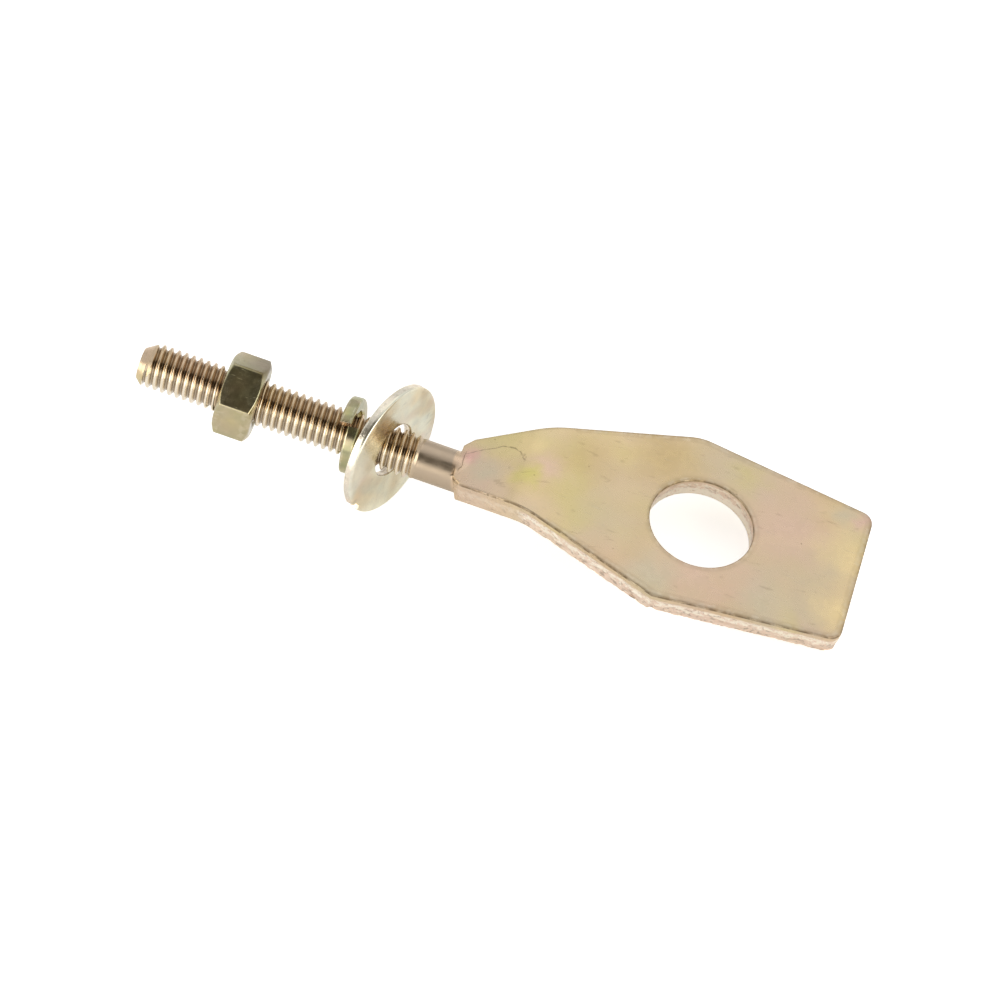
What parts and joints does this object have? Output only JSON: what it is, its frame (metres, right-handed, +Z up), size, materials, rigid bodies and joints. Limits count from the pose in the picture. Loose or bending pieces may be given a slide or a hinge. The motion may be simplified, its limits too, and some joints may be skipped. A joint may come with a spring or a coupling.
{
  "type": "motorcycle chain adjuster",
  "caption": "Cranked steel drawplate with an axle hole, drawn out into a threaded stud that carries a hexagon nut, a split lock washer and a large plain washer.",
  "frame": {"origin": "middle of the part's footprint on the surface that it lies on", "axes": "+Z up off that surface, +X along the part from the stud's free end to the plate's tail, +Y across the plate; lying on the flat washer's rim and the tail's lower edge, the stud rises 11.7 degrees towards its free end"},
  "size_m": [0.0956, 0.0272, 0.0192],
  "materials": {
    "plate_finish": "yellow chromate over zinc, satin, faintly iridescent",
    "nut_finish": "yellow chromate over zinc, bright, olive",
    "spring_finish": "yellow chromate over zinc, greenish",
    "washer_finish": "yellow chromate over zinc, pale and iridescent"
  },
  "bodies": {
    "bolt": {"adjuster_bolt": "plate_finish"},
    "nut": {"hex_nut": "nut_finish"},
    "spring_washer": {"spring_washer": "spring_finish"},
    "flat_washer": {"flat_washer": "washer_finish"}
  },
  "joints": [
    {"name": "nut_travel", "type": "slide", "parent": "bolt", "child": "nut", "axis": [0.9792, 0, -0.2031], "range_m": [-0.01, 0.005]},
    {"name": "spring_washer_slide", "type": "slide", "parent": "bolt", "child": "spring_washer", "axis": [0.9792, 0, -0.2031], "range_m": [-0.004, 0]},
    {"name": "flat_washer_slide", "type": "slide", "parent": "bolt", "child": "flat_washer", "axis": [0.9792, 0, -0.2031], "range_m": [0, 0.006]}
  ]
}
